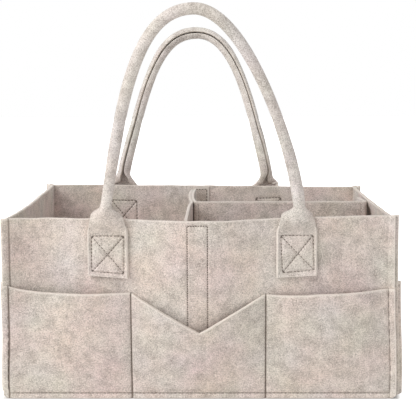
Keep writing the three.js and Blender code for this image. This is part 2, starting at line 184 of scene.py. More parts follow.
def fibres(tree, coords, turn, scale, thin):  # long thin noise, one lay of wool fibres
    placed = addNode(tree, "Mapping", {"Vector": coords, "Rotation": turn, "Scale": (1, thin, thin)})
    return addNode(tree, "TexNoise", {"Vector": placed.outputs[0], "Scale": scale, "Detail": 2.0,
                                      "Roughness": 0.6, "Distortion": 0.6}).outputs["Fac"]


def makeFelt(name, look):
    mat, tree, shader, coords = startFinish(name)
    drift = addNoise(tree, coords, look["driftScale"], 1.0)
    cloud = addNoise(tree, coords, look["cloudScale"], 4.0, 0.6)["Fac"]
    speck = addNoise(tree, coords, look["speckScale"], 3.0, 0.65)["Fac"]
    grain = addNoise(tree, coords, look["grainScale"], 2.0)["Fac"]
    layOne = fibres(tree, coords, (0.3, 0.5, 0.7), look["fibreScale"], look["fibreThin"])
    layTwo = fibres(tree, coords, (1.1, -0.6, 2.3), look["fibreScale"], look["fibreThin"])
    base = mixTone(tree, ramp(tree, drift["Fac"], [(0.40, 0), (0.60, 1)]), look["cool"], look["warm"])
    base = mixTone(tree, painted(tree, "worn"), base, look["rubbed"])
    base = mixTone(tree, look["driftTint"], base, drift["Color"], "SOFT_LIGHT")
    layers = (  # what shows, how much of it from where to where, and in which colour
        (cloud, ((0.30, 0.50), (0.60, 0)), "darkWool"),
        (speck, ((0.30, 0.68), (0.51, 0)), "darkWool"),
        (speck, ((0.51, 0), (0.70, 0.7)), "paleWool"),
        (layOne, ((0.56, 0), (0.72, 0.78)), "paleWool"),
        (layTwo, ((0.28, 0.62), (0.44, 0)), "darkWool"),
        (grain, ((0.55, 0), (0.75, 0.45)), "paleWool"),
        # paler cut edges, partly a painted highlight along them
        (painted(tree, "edge"), ((0.30, 0), (0.85, 0.6)), "cutEdgeAndHighlight"),
        # painted shade in seams, creases and along the floor line, from the value layFelt leaves on the mesh
        (painted(tree, "seamShadeAndBorder"), ((0.30, 0), (0.95, 0.9)), "seamShade"),
    )
    for source, stops, colour in layers:
        base = mixTone(tree, ramp(tree, source, stops), base, look[colour])
    nap = combine(tree, "ADD", combine(tree, "ADD", layOne, speck), grain)
    endFinish(tree, shader, base, nap, 0.55, 0.5 * mm, {
        "Roughness": 0.95, "Specular IOR Level": 0.12, "Sheen Weight": 0.25, "Sheen Roughness": 0.45,
        "Sheen Tint": (1.0, 0.96, 0.92, 1)})
    return mat


def makeThread(name):  # two-ply polyester, much darker than the felt
    mat, tree, shader, coords = startFinish(name)
    ply = addNode(tree, "TexWave", {"Vector": coords, "Scale": 420.0, "Distortion": 3.0},
                  bands_direction="DIAGONAL").outputs["Fac"]
    shade = addNoise(tree, coords, 160.0, 2.0)["Fac"]
    base = mixTone(tree, ramp(tree, ply, [(0.2, 0), (0.8, 1)]), tone(70, 60, 52), tone(104, 92, 81))
    base = mixTone(tree, ramp(tree, shade, [(0.4, 0), (0.7, 0.35)]), base, tone(126, 113, 100))
    endFinish(tree, shader, base, ply, 0.4, 0.15 * mm, {"Roughness": 0.7, "Sheen Weight": 0.15})
    return mat


def makeTape(name, pile):  # woven tape, with a loop pile or rows of hooks
    mat, tree, shader, coords = startFinish(name)
    bent = addNoise(tree, coords, 300.0, 3.0)["Fac"]
    rib = addNode(tree, "TexWave", {"Vector": coords, "Scale": pile, "Distortion": 5.0, "Detail": 2.0,
                                    "Detail Scale": 2.0}, bands_direction="DIAGONAL").outputs["Fac"]
    cell = addNode(tree, "TexVoronoi", {"Vector": coords, "Scale": pile * 3.2}).outputs["Distance"]
    base = mixTone(tree, ramp(tree, rib, [(0.25, 0), (0.75, 1)]), tone(176, 160, 149), tone(219, 207, 197))
    base = mixTone(tree, ramp(tree, cell, [(0.1, 0.4), (0.5, 0)]), base, tone(233, 224, 215))
    base = mixTone(tree, ramp(tree, bent, [(0.35, 0.4), (0.6, 0)]), base, tone(150, 136, 126))
    base = mixTone(tree, ramp(tree, painted(tree, "seamShadeAndBorder"), [(0.4, 0), (0.6, 0.9)]), base, tone(226, 216, 207))
    height = combine(tree, "SUBTRACT", rib, cell)
    endFinish(tree, shader, base, height, 0.7, 0.5 * mm, {"Roughness": 0.85, "Sheen Weight": 0.2})
    return mat


oatmealFelt = makeFelt("oatmealFelt", feltLook)
seamThread = makeThread("seamThread")
loopTape = makeTape("loopTape", 260.0)
hookTape = makeTape("hookTape", 420.0)
print("finishes made")


# the bag's form: every layer of a wall is laid by wallSpot, so layers follow each other

felt = inMm(thick=3, fit=0.3, round=0.8, grid=3, foldGrid=1, nearest=0.7)
baseLow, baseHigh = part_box("base_panel")
bag = dict(
    halfWidth=baseHigh.x + felt["fit"], halfDepth=baseHigh.y + felt["fit"],
    height=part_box("left_panel")[1].z, seam=baseHigh.z - felt["thick"],
    fall=(119.3 * mm, baseHigh.x + felt["fit"]), rimCut=0.45,
    **inMm(frontBow=22, backBow=10, lugBow=8, leftBow=4, rightBow=2.2, drawIn=2.5, swellTo=78, leftFall=(100, 150),
           longFlange=6.4, sideFlange=8.2, gape=0.8, tipRise=3, rimCutLong=17,
           settleFrom=160),  # above this a wall goes along with its rim
)
# how far a long wall turns out into a corner seam
seamTurn = dict(frontLeft=radians(-28), frontRight=radians(10), back=radians(20))
wallMid = felt["fit"] / 2 + felt["thick"] / 2
overlayMid = wallMid + felt["thick"] + felt["fit"]
pressIn = felt["thick"] / 4  # stitched felt is half as thick, and lies against what is under it
# how far to each side a seam draws the felt in
pull = inMm(lug=1, tape=0.9, crease=1, hem=1.2, pocket=1.3, divider=0.9)


def rise(z):  # share of the outward bow at a height
    return sin(clamp((z - bag["seam"]) / (bag["height"] - bag["seam"])) * pi / 2)


def creaseX(z):
    return bag["halfWidth"] - bag["drawIn"] * rise(z) ** 2


def longBow(across, middle, fall):
    away = abs(across)
    swell = (middle - bag["lugBow"]) * (1 - ease(away, 0, bag["swellTo"]))
    return (bag["lugBow"] + swell) * (1 - ease(away, *fall))


def sideBow(across, middle):
    return -middle * (1 - (across / bag["halfDepth"]) ** 2)


# at both ends of a wall: the valley beside the corner seam, how deep the seam is on the wall and how much painted
# shade it gets there, how much painted shade it gets on the pocket, and how deep its thread lies
cornerLook = dict(valley=(0, 0), crease=(0.35, 0.35), pocketCrease=(0.6, 0.6), sunk=(0.25, 0.25))


def longWall(out, **own):
    return dict(half=creaseX, reach=lambda z: bag["halfDepth"], nominal=bag["halfWidth"], flange=bag["longFlange"],
                out=Vector((0, out, 0)), side=Vector((1, 0, 0))) | cornerLook | own


def sideWall(out, **own):
    return dict(half=lambda z: bag["halfDepth"], reach=creaseX, nominal=bag["halfDepth"], flange=bag["sideFlange"],
                out=Vector((out, 0, 0)), side=Vector((0, 1, 0))) | cornerLook | own


# turn and tipLift: how the raw edges turn out at both ends, and how far they stand above the rim
# rim: how far the rim stands above or below its level, at places across
walls = {
    "front": longWall(-1, bow=lambda a: longBow(a, bag["frontBow"], bag["leftFall" if a < 0 else "fall"]), seed=1.3,
                      turn=(seamTurn["frontLeft"], seamTurn["frontRight"]), tipLift=(-1.2 * mm, 0.6 * mm),
                      valley=(0, 1.2 * mm), crease=(0.8, 0.3), pocketCrease=(1, 0.6), sunk=(-0.05, 0.25),
                      rim=((-187, -0.2), (-160, -1.0), (-130, -1.2), (-100, -0.75), (-62, -1.7), (-35, -1.25),
                           (0, -0.3), (32, -1.4), (67, -1.1), (119, 0.5), (145, 0.7), (187, 0.2))),
    "back": longWall(1, bow=lambda a: longBow(a, bag["backBow"], bag["fall"]), seed=7.9,
                     turn=(seamTurn["back"], seamTurn["back"]), tipLift=(1.2 * mm, 1.2 * mm),
                     valley=(1.2 * mm, 1.2 * mm), rim=((-187, 3.7), (-60, 2.2), (60, 1.2), (130, 0.0), (187, 0.7))),
    "left": sideWall(-1, bow=lambda a: sideBow(a, bag["leftBow"]), seed=13.1,
                     turn=(pi / 2 - seamTurn["frontLeft"], pi / 2 - seamTurn["back"]),
                     tipLift=(-1.2 * mm, 1.2 * mm), rim=((-125, -0.2), (125, 3.7))),
    "right": sideWall(1, bow=lambda a: sideBow(a, bag["rightBow"]), seed=21.7,
                      turn=(pi / 2 - seamTurn["frontRight"], pi / 2 - seamTurn["back"]),
                      tipLift=(0.6 * mm, 1.2 * mm), rim=((-125, 0.2), (125, 0.7))),
}
longWalls = ("front", "back")

waves = inMm(slow=0.7, long=75, high=60, quick=0.22, short=20, up=(8, 45), inside=(4, 35))


def unevenness(wall, across, z):  # slow waves in the felt, none at its seams
    held = ease(z, *waves["up"]) * ease(wall["nominal"] - abs(across), *waves["inside"])
    seed = wall["seed"]
    slow = waver(across / waves["long"] + seed, z / waves["high"], seed)
    quick = waver(across / waves["short"], z / waves["short"], seed + 5)
    return held * (waves["slow"] * slow + waves["quick"] * quick)


seamValley = inMm(inside=8, width=6, up=(20, 80))


def cornerValley(wall, across, z):  # felt pulled in beside a corner seam
    away = wall["nominal"] - abs(across) - seamValley["inside"]
    return wall["valley"][across > 0] * dip(away, seamValley["width"]) * ease(z, *seamValley["up"])


frontCorners = dict(lipSharp=3.7, **inMm(depth=(-30, 125), span=(110, 187), leftIn=2.6, leftUp=(5, 70), rightIn=1.7,
                                         rightUp=(20, 100), leftOut=16, lip=4, fadeX=18.5, fadeY=25))


def outOfSquare(place, z):  # the two front corners as they stand
    form = frontCorners
    front = ease(-place.y, *form["depth"])
    place.x += form["leftIn"] * ease(-place.x, *form["span"]) * front * ease(z, *form["leftUp"])
    place.x -= form["rightIn"] * ease(place.x, *form["span"]) * front * ease(z, *form["rightUp"])
    away = max(bag["halfWidth"] + place.x, 0) / form["fadeX"] + max(bag["halfDepth"] + place.y, 0) / form["fadeY"]
    place.y -= (form["leftOut"] * exp(-away) + form["lip"] * exp(-form["lipSharp"] * away)) * rise(z)
    return place


rightBelly = inMm(out=5.5, width=45, up=(30, 110), top=165)


def wallSpot(wall, across, z, out, tip=0.0):  # tip runs from 0 at the corner crease to 1 at the raw edge
    along = min(abs(across) / wall["nominal"], 1)
    turn = wall["turn"][across >= 0]
    flange, gape = tip * wall["flange"], bag["gape"] * tip ** 2
    bow = wall["bow"](across) * rise(z)
    sign = 1 if across >= 0 else -1
    side = sign * (along * (wall["half"](z) - out * tan(turn / 2)) + flange * cos(turn) - gape * sin(turn))
    reach = wall["reach"](z) + bow + out + flange * sin(turn) + gape * cos(turn)
    reach += unevenness(wall, across, z) - cornerValley(wall, across, z)
    if wall["out"].x > 0:  # stands off below its rim, where the divider ends
        low, high = ease(z, *rightBelly["up"]), 1 - ease(z, rightBelly["top"], bag["height"])
        reach += rightBelly["out"] * dip(across, rightBelly["width"]) * low * high
    drop = bow ** 2 / (2 * bag["height"])
    return outOfSquare(wall["side"] * side + wall["out"] * reach + Vector((0, 0, z - drop)), z)


def addObject(name, data):
    added = bpy.data.objects.new(name, data)
    bpy.context.scene.collection.objects.link(added)
    return added


def addPiece(name, bm, mat):
    mesh = bpy.data.meshes.new(name)
    bm.to_mesh(mesh)
    bm.free()
    mesh.materials.append(mat)
    mesh.shade_smooth()
    return addObject(name, mesh)


# press: how far stitches thin the felt; how much painted shade lies in seams, creases and along the floor (press,
# where no other measure is given); wear: how rubbed it is; ease3d: rounds of smoothing
def layFelt(name, columns, rows, spot, press=None, mat=oatmealFelt, thick=felt["thick"], ease3d=0, cutOut=None,
            paintedShade=None, wear=None):
    bm = bmesh.new()
    bmesh.ops.create_grid(bm, x_segments=len(columns) - 1, y_segments=len(rows) - 1, size=0.5)
    edge = bm.verts.layers.float.new("edge")
    seamShadeAndBorder = bm.verts.layers.float.new("seamShadeAndBorder")
    worn = bm.verts.layers.float.new("worn")
    weights = bm.verts.layers.deform.verify()
    lost, soft = [], []
    for v in bm.verts:  # the grid reaches from -0.5 to 0.5 both ways
        column = columns[round((v.co.x + 0.5) * (len(columns) - 1))]
        row = rows[round((v.co.y + 0.5) * (len(rows) - 1))]
        # cut edges are marked for a paler colour, partly a painted highlight; the next value is painted shade for
        # seams, creases and the floor line on felt, and the woven border on tapes
        v[edge] = 1.0 if v.is_boundary else 0.0
        pressed = press(column, row) if press else 0.0
        v[seamShadeAndBorder] = paintedShade(column, row) if paintedShade else pressed
        v[worn] = wear(column, row) if wear else 0.0
        v[weights][0] = 1 - pressed
        v.co = spot(column, row)
        if cutOut and cutOut(column, row):
            lost.append(v)
        elif not v.is_boundary:
            soft.append(v)
    for _ in range(ease3d):  # takes the sharpness out of folds
        bmesh.ops.smooth_vert(bm, verts=soft, factor=0.5, use_axis_x=True, use_axis_y=True, use_axis_z=False)
    if lost:
        bmesh.ops.delete(bm, geom=lost, context="VERTS")
    bmesh.ops.recalc_face_normals(bm, faces=bm.faces[:])
    piece = addPiece(name, bm, mat)
    piece.vertex_groups.new(name="full")
    wall = piece.modifiers.new("thickness", "SOLIDIFY")
    wall.thickness = thick
    wall.offset = 0
    wall.vertex_group = "full"
    wall.thickness_vertex_group = 0.5
    rim = piece.modifiers.new("soft cut edge", "BEVEL")
    rim.limit_method = "ANGLE"
    rim.angle_limit = radians(55)
    rim.width = min(felt["round"], thick * 0.3)
    rim.segments = 2
    return piece


def dressed(piece, body, nodes):
    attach(piece, body)
    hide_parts(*nodes)
    return piece


# thread: each stitch is one small bead of thread, laid along a seam

thread = dict(segments=6, rings=4, **inMm(pitch=3.9, gap=0.6, width=1.2, rise=1.0))


def sewInto(bm, points, normal, gap, pitch, size):
    lengths = runLengths(points)
    count = max(1, round(lengths[-1] / pitch))
    step = lengths[-1] / count

    def at(d):
        k = segmentAt(lengths, d)
        span = lengths[k + 1] - lengths[k]
        return points[k].lerp(points[k + 1], (d - lengths[k]) / span if span else 0)

    for k in range(count):
        a, b = at(k * step + gap / 2), at((k + 1) * step - gap / 2)
        along = (b - a).normalized()
        across = normal.cross(along).normalized()
        up = along.cross(across)
        turn = Matrix((along, across, up)).transposed().to_4x4()
        bead = Matrix.Diagonal(((b - a).length / 2, size * thread["width"] / 2, size * thread["rise"] / 2, 1))
        bmesh.ops.create_uvsphere(bm, u_segments=thread["segments"], v_segments=thread["rings"], radius=1,
                                  matrix=Matrix.Translation((a + b) / 2) @ turn @ bead)


def sew(name, body, seams, nodes=(), gap=thread["gap"], pitch=thread["pitch"], size=1.0):
    bm = bmesh.new()
    for points, normal in seams:
        sewInto(bm, points, normal, gap, pitch, size)
    piece = addPiece(name, bm, seamThread)
    return dressed(piece, body, nodes) if body else piece


# walls: four felt panels whose raw edges stand out at the corners

# the sewn ends of handles and tapes come first, because their stitches press into the walls
handle = dict(
    lugBottom=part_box("front_left_lug")[0].z, lean=radians(16.5), wander=radians(9), boxSpread=1.015,
    **inMm(spacing=181, lugWidth=38, shoulder=165, arch=4, boxWidth=31, boxHeight=36, boxInset=4, reach=196,
           edgeLift=1.4, rimLift=2.6, looseSide=1, looseEnd=0.6),
    shift=inMm(front=3, back=-8), skew={"front": {-1: -1.4 * mm, 1: 1 * mm}, "back": {-1: 0.6 * mm, 1: -0.5 * mm}},
    boxOff={"front": (((0, 0.4), (-0.3, -0.5), (0, 0), (0, 0)), ((1.9, 0), (1.4, 1.9), (0, 0.5), (0, 0))),
            "back": (((0, 0), (0.5, -0.6), (0, 0), (-0.4, 0.5)), ((0.3, 0.6), (0, 0), (-1.5, 3.2), (-1.8, 2.6)))},
)
stitchHeight = handle["lugBottom"] + handle["boxInset"] + handle["boxHeight"] / 2


def lugStretch(name, sign):  # wallSpot draws places in by this
    turn = walls[name]["turn"][sign > 0]
    return bag["halfWidth"] / (creaseX(stitchHeight) - overlayMid * tan(turn / 2))


def lugMiddles(name):
    return [(handle["shift"][name] + sign * handle["spacing"] / 2) * lugStretch(name, sign) for sign in (-1, 1)]


def boxLines(name, middle):  # the box and its cross, as pairs of ends across and up
    w, h = handle["boxWidth"] / 2 * handle["boxSpread"], handle["boxHeight"] / 2
    square = ((-w, -h), (w, -h), (w, h), (-w, h))
    off = handle["boxOff"][name][middle > 0]
    a, b, c, d = ((middle + x + dx * mm, stitchHeight + z + dz * mm) for (x, z), (dx, dz) in zip(square, off))
    return [(a, b), (b, c), (c, d), (d, a), (a, c), (b, d)]


def lineDistance(x, z, line):
    spot, a, b = Vector((x, z)), Vector(line[0]), Vector(line[1])
    share = geometry.intersect_point_line(spot, a, b)[1]
    return (spot - a.lerp(b, clamp(share))).length


def lugPress(name, middle, x, z):
    if abs(x - middle) > handle["lugWidth"] or abs(z - stitchHeight) > handle["boxHeight"]:
        return 0
    return max(dip(lineDistance(x, z, line), pull["lug"]) for line in boxLines(name, middle))


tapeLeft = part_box("front_loop_strip")[0].x
tape = dict(left={"front": tapeLeft, "back": tapeLeft - 1.2 * mm}, top=inMm(front=177, back=180),
            inset=inMm(front=0.8, back=3.3),
            **inMm(width=20.9, thick=1.2, border=3.1, bottom=26, hookTop=163, grid=2.5, fineGrid=0.9, fineRows=4))
loopMid = -felt["fit"] / 2 - tape["thick"] / 2
hookMid = loopMid - tape["thick"] - felt["fit"]
flangeMid = hookMid - tape["thick"] / 2 - felt["fit"] - felt["thick"] / 2


def tapeFrame(name):  # left, right and top of the stitched frame
    left, inset = tape["left"][name], tape["inset"][name]
    return left + inset, left + tape["width"] - inset, tape["top"][name] - inset


def tapePress(name, x, z):
    left, right, top = tapeFrame(name)
    if z < tape["bottom"]:
        return 0
    press = dip(min(abs(x - left), abs(x - right)), pull["tape"]) if z < top + 1 * mm else 0
    return max(press, dip(z - top, pull["tape"]) if left < x < right else 0)


tips = (1.0, 0.7, 0.4, 0.2, 0.08)  # lines of the grid on a raw edge
besideCrease = 0.9 * mm


def wallColumns(stations):  # across and tip: raw edge, crease, wall, crease, raw edge
    low, high = stations[0], stations[-1]
    inner = [low, low + besideCrease, *stations[1:-1], high - besideCrease, high]
    return [(low, t) for t in tips] + [(a, 0.0) for a in inner] + [(high, t) for t in reversed(tips)]


def merged(*runs):  # one ascending list, without points that lie too close together
    kept = []
    for value in sorted(v for run in runs for v in run):
        if not kept or value - kept[-1] > felt["nearest"]:
            kept.append(value)
    return kept


def around(middle, reach, pitch):
    return steps(middle - reach, middle + reach, pitch)


hemRows = [v * mm for v in (0.2, 1.4, 2.4, 3.2, 3.8, 4.4, 5.0, 5.7, 6.7, 8.2, 10, 12)]
aboveHem = 14 * mm
hemLevel = bag["seam"] - 0.6 * mm


def creasePress(wall, column):  # the corner seam, deepest in the crease
    x, tip = column
    return dip(tip * wall["flange"] + wall["nominal"] - abs(x), pull["crease"])


def hemPress(column, z):
    return 0 if column[1] > tips[-1] else dip(z - hemLevel, pull["hem"])


def tipLow(tip):  # the raw edges stop a little above the floor
    return bag["tipRise"] * tip ** 2


def rimLine(wall, across):  # a hand-cut rim isn't quite level
    cut = bag["rimCut"] * waver(across / bag["rimCutLong"], wall["seed"], 3.1)
    return bag["height"] + (softSteps(wall["rim"], across / mm) + cut) * mm


def settled(wall, across, z):  # the top of a wall goes up and down with its rim
    share = clamp((z - bag["settleFrom"]) / (bag["height"] - bag["settleFrom"]))
    return z + (rimLine(wall, across) - bag["height"]) * share


# how far around its seams the grid is finer, and its pitch there
fine = inMm(lug=(17, 1), lugHigh=(23, 1), tape=(3, 0.75), tapeTop=(2.5, 0.8), pocket=(3.5, 0.7))
wallPress = dict(hem=0.8, tape=0.7, lug=1)  # how far each seam thins a wall
wallSeamShade = dict(hem=0.8, tape=0.4, lug=0.5)  # and how much painted shade lies in it


def makeWall(name):
    wall = walls[name]
    long = name in longWalls
    stations = [steps(-wall["nominal"], wall["nominal"], felt["grid"])]
    rows = [hemRows, steps(aboveHem, bag["height"], felt["grid"])]
    if long:
        stations += [around(m, *fine["lug"]) for m in lugMiddles(name)]
        left, right, top = tapeFrame(name)
        stations += [around(left, *fine["tape"]), around(right, *fine["tape"])]
        rows += [around(stitchHeight, *fine["lugHigh"]), around(top, *fine["tapeTop"])]
    stations = merged(*stations)
    rows = merged(*rows)

    def press(column, z, share=wallPress):
        x = column[0]
        found = max(share["hem"] * hemPress(column, z), wall["crease"][x > 0] * creasePress(wall, column))
        if long:
            lugs = [share["lug"] * lugPress(name, m, x, z) for m in lugMiddles(name)]
            found = max(found, share["tape"] * tapePress(name, x, z), *lugs)
        return found

    # painted shade in the wall's seams, creases and hem
    def paintedShade(column, z):
        return press(column, z, wallSeamShade)

    def spot(column, z):
        x, tip = column
        lift = lerp(tipLow(tip), bag["height"] + wall["tipLift"][x > 0] * tip, z / bag["height"])
        inward = max(creasePress(wall, column), tapePress(name, x, z) if long else 0) * pressIn
        return wallSpot(wall, x, settled(wall, x, lift), wallMid - inward, tip)

    piece = layFelt(f"{name}_wall_felt", wallColumns(stations), rows, spot, press, ease3d=2, paintedShade=paintedShade)
    dressed(piece, "bag", [f"{name}_panel"])


for name in walls:
    makeWall(name)
print("walls laid")


# pockets: a second layer, slack at its mouth, with a notch in the middle of the long sides

# painted shade along the pocket's hem, and a painted contact shadow where it meets the floor
pocket = dict(creasePress=0.75, hemShade=0.7, floorContactShadow=0.75,
              **inMm(height=108, cornerLift=(8, 2), standoff=8, split=(-66.4, 64.5), notchDepth=37, sag=2.3,
                     sagPlace=82, sagWidth=28, cut=0.35, cutLong=15, floorHigh=0.9))


def pocketSeams(name):
    half = walls[name]["nominal"]
    return [-half, *pocket["split"], half] if name in longWalls else [-half, half]


def pocketSlack(name, across, z):
    seams = pocketSeams(name)
    for a, b in zip(seams, seams[1:]):
        if a < across < b:
            share = clamp((z - bag["seam"]) / (pocket["height"] - bag["seam"]))
            belly = 1 - ((2 * across - a - b) / (b - a)) ** 2
            return pocket["standoff"] * sin(share * pi / 2) * belly
    return 0


def pocketTop(name, across):
    wall = walls[name]
    top = pocket["height"] + pocket["cornerLift"][across > 0] * (across / wall["nominal"]) ** 10
    if name in longWalls:
        top -= pocket["notchDepth"] * max(1 - across / pocket["split"][across > 0], 0)
    if name == "front":
        top -= pocket["sag"] * dip(across - pocket["sagPlace"], pocket["sagWidth"])
    return top + pocket["cut"] * waver(across / pocket["cutLong"], wall["seed"], 9.4)


def seamPress(name, across):
    return max([dip(across - s, pull["pocket"]) for s in pocketSeams(name)[1:-1]] or [0])


def makePockets(name):
    wall = walls[name]
    long = name in longWalls
    stations = [steps(-wall["nominal"], wall["nominal"], felt["grid"])]
    if long:
        stations += [around(s, *fine["pocket"]) for s in pocketSeams(name)[1:-1]]
        stations += [[0.0]]  # the point of the notch
    stations = merged(*stations)
    rows = merged(hemRows, steps(aboveHem, pocket["height"], felt["grid"]))

    def press(column, z):
        corner = pocket["creasePress"] * creasePress(wall, column)
        return max(hemPress(column, z), seamPress(name, column[0]), corner)

    def paintedShade(column, z):  # painted shade in seams, hem and corner creases, and a painted contact shadow where it meets the floor
        corner = wall["pocketCrease"][column[0] > 0] * creasePress(wall, column)
        hem = max(pocket["hemShade"] * hemPress(column, z), pocket["floorContactShadow"] * dip(z, pocket["floorHigh"]))
        return max(hem, seamPress(name, column[0]), corner)

    def spot(column, z):
        x, tip = column
        share = z / pocket["height"]
        lift = lerp(tipLow(tip), pocketTop(name, x), share) if tip or z > bag["seam"] * 2 else z
        inward = pressIn * max(seamPress(name, x), hemPress(column, z), creasePress(wall, column))
        return wallSpot(wall, x, lift, overlayMid + pocketSlack(name, x, lift) - inward, tip)

    piece = layFelt(f"{name}_pocket_felt", wallColumns(stations), rows, spot, press, ease3d=2, paintedShade=paintedShade)
    dressed(piece, "bag", [f"{name}_pocket_panel"])


for name in walls:
    makePockets(name)
print("pockets laid")


# base: one panel, its edges turned down behind the walls and caught in the bottom seam

base = dict(width=baseHigh.x - baseLow.x, depth=baseHigh.y - baseLow.y,
            **inMm(turn=2.5, sag=0.8, sagFrom=60, sagLong=70, notch=0.4, grid=5, foldGrid=1.5))


def turnedDown(s, half):  # flat up to a small radius, then straight down
    reach = half - felt["thick"] / 2
    flat = reach - base["turn"]
    away = abs(s) - flat
    sign = 1 if s > 0 else -1
    if away <= 0:
        return s, 0.0
    angle = away / base["turn"]
    if angle < pi / 2:
        return sign * (flat + base["turn"] * sin(angle)), base["turn"] * (1 - cos(angle))
    return sign * reach, base["turn"] + away - base["turn"] * pi / 2


def makeBase():
    skirt = bag["seam"] + felt["thick"] / 2 - base["turn"] + base["turn"] * pi / 2
    halfX, halfY = base["width"] / 2, base["depth"] / 2

    def runs(half):
        flat = half - felt["thick"] / 2 - base["turn"]
        fold = steps(0, skirt, base["foldGrid"])
        return merged([-flat - s for s in fold], steps(-flat, flat, base["grid"]), [flat + s for s in fold])

    def spot(sx, sy):
        x, dropX = turnedDown(sx, halfX)
        y, dropY = turnedDown(sy, halfY)
        level = bag["seam"] + felt["thick"] / 2
        held = ease(halfX - abs(x), 0, base["sagFrom"]) * ease(halfY - abs(y), 0, base["sagFrom"])
        wave = base["sag"] * held * (waver(x / base["sagLong"], y / base["sagLong"], 4.2) - 1.2)
        return Vector((x, y, level - dropX - dropY + wave))

    def cutOut(sx, sy):  # the four corners are notched so that the edges can turn down
        return min(turnedDown(sx, halfX)[1], turnedDown(sy, halfY)[1]) > base["notch"]

    piece = layFelt("base_felt", runs(halfX), runs(halfY), spot, cutOut=cutOut)
    dressed(piece, "bag", ["base_panel"])


makeBase()
print("base laid")


# handles: one strip each, sewn flat at both ends and rolled into a tube between

# per leg: where its tube starts, how far it leans out, how long it keeps upright, and level at the top
legs = {
    "front": {-1: dict(base=93.1, out=-21.0, rise=124.7, level=48.4),
              1: dict(base=92.0, out=4.4, rise=29.3, level=52.4)},
    "back": {-1: dict(base=95.6, out=-30.4, rise=124.6, level=53.3),
             1: dict(base=90.4, out=-25.6, rise=119.1, level=47.3)},
}
# sections: place along the leg, half width and width of the strip in mm, and how far round it is rolled in degrees
frontNeck = ((0, 14.7, 32.5, 105), (2.6, 12.8, 32, 165), (6.6, 8.0, 29, 270), (9.5, 4.9, 24.5, 320),
             (13.5, 3.8, 21.8, 335))
curls = {
    "front": dict(sway=-5.6 * mm, lean={-1: 0, 1: 0}, slit={-1: ((0, 0),), 1: ((0, 0),)}, rise=0,
                  sections={-1: frontNeck, 1: frontNeck},
                  girth={-1: ((40, 1), (75, 1.12), (100, 1.05), (140, 1.07), (200, 1)),
                         1: ((20, 1.17), (55, 1.12), (85, 1.0), (105, 0.91), (135, 0.93), (190, 1))}),
    "back": dict(sway=-0.6 * mm, lean={-1: 0.5 * mm, 1: -4.5 * mm}, rise=radians(-14),
                 slit={-1: ((8, 0), (25, 11)), 1: ((8, 0), (20, 26), (40, 24), (75, 13))},
                 sections={-1: ((0, 16.1, 40, 150), (2, 15, 44, 265), (4, 13.6, 44, 296), (7, 12, 43, 300),
                                (10, 10.2, 41, 302), (12.5, 8.7, 39, 308), (15, 7.4, 38, 328), (18, 6.5, 37, 338)),
                           1: ((0, 15.6, 44, 220), (1, 15.2, 47, 305), (3, 13.6, 47, 320), (6.5, 10.6, 42, 328),
                               (9, 8.8, 38, 334), (13, 6.6, 36, 340), (18, 6.2, 36, 340))},
                 girth={-1: ((30, 0.98), (60, 0.93), (85, 0.82), (150, 0.82), (190, 0.92)),
                        1: ((30, 0.95), (60, 0.95), (85, 0.82), (150, 0.82), (190, 0.92))}),
}
# along a leg, from its neck: where it comes loose, leans over and gets its own girth, and how it is worn and wavy
strip = dict(lugWear=0.35, paintedShade=0.4, sideStep=0.05,
             **inMm(neck=18, pitch=2.4, loose=(15, 60), tilt=(-2, 12), girth=(8, 22), standOff=(0, 34),
                    wear=(4, 22), wanderLong=55, rough=0.25, roughLong=9, skew=(3, 14)))


def layLeg(name, sign):  # one leg from neck to top, seen so that out is to the right
    leg, sway, reach = legs[name][sign], sign * curls[name]["sway"], handle["reach"]
    start = Vector((leg["base"] * mm, -felt["thick"] / 2, 0))
    upright = Vector(((leg["base"] + leg["out"]) * mm, leg["rise"] * mm, 0))
    level = Vector((sway + leg["level"] * mm, reach, 0))
    line = geometry.interpolate_bezier(start, upright, level, Vector((sway, reach, 0)), 400)
    return line, runLengths(line)


def legAt(line, lengths, d):
    k = segmentAt(lengths, d)
    a, b = line[k], line[k + 1]
    return a.lerp(b, clamp((d - lengths[k]) / (b - a).length)), (b - a).normalized()


def curlRuns(turn, deep):  # lengths along part of an ellipse of half width 1
    angles = steps(-turn / 2, turn / 2, turn / 48)
    runs = [0.0]
    for a, b in zip(angles, angles[1:]):
        runs.append(runs[-1] + Vector((sin(b) - sin(a), deep * (cos(b) - cos(a)))).length)
    return angles, runs


@lru_cache(maxsize=None)
def curlSection(half, width, turn):  # flattened until a strip of this width fits into this half width
    size = half / sin(min(turn, pi) / 2)
    low, high = 0.02, 4.0
    for _ in range(24):
        deep = (low + high) / 2
        low, high = (deep, high) if curlRuns(turn, deep)[1][-1] < width / size else (low, deep)
    return (*curlRuns(turn, deep), deep)


def curl(side, width, table, twist=0.0):  # how far across and how far in, with side from -1 to 1 over the strip
    angles, runs, deep = table
    place = (side + 1) / 2 * runs[-1]
    k = segmentAt(runs, place)
    angle = lerp(angles[k], angles[k + 1], (place - runs[k]) / (runs[k + 1] - runs[k]))
    size = width / runs[-1]
    across, depth = size * sin(angle), -size * deep * cos(angle)
    return across * cos(twist) - depth * sin(twist), size * deep + depth * cos(twist) + across * sin(twist)


lugRuns = lru_cache(maxsize=None)(curlRuns)


def straight(table, x, column):  # straight steps through a table whose first column is the place
    for a, b in zip(table, table[1:]):
        if x < b[0]:
            return lerp(a[column], b[column], clamp((x - a[0]) / (b[0] - a[0])))
    return table[-1][column]


